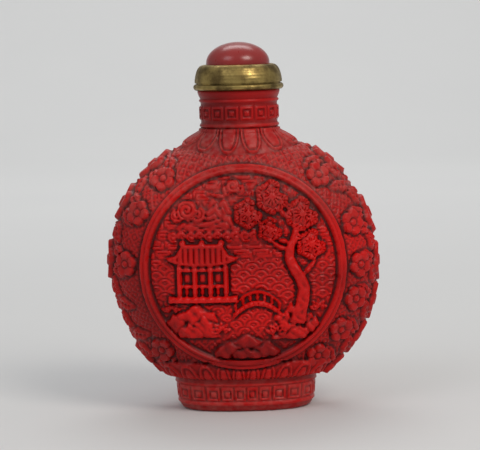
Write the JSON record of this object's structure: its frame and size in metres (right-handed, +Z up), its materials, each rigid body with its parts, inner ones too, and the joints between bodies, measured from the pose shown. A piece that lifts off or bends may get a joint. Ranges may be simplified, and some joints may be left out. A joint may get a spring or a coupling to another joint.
{
  "type": "snuff bottle",
  "caption": "Flattened round snuff bottle of carved red lacquer on an oval foot, with a straight neck and a domed stopper in a brass collar.",
  "frame": {"origin": "on the floor under the middle of the foot", "axes": "+Z up through the neck, -Y out of the front face, +X to the right of the front face"},
  "size_m": [0.0548, 0.0304, 0.0728],
  "materials": {
    "carved_lacquer": "hand-rubbed satin, darker in the cuts",
    "aged_brass": "dull, toned brown",
    "dome_lacquer": "polished",
    "cork": "raw"
  },
  "bodies": {
    "root": {"bottle": "carved_lacquer", "stopper_collar": "aged_brass", "stopper_dome": "dome_lacquer", "stopper_cork": "cork"}
  },
  "joints": []
}
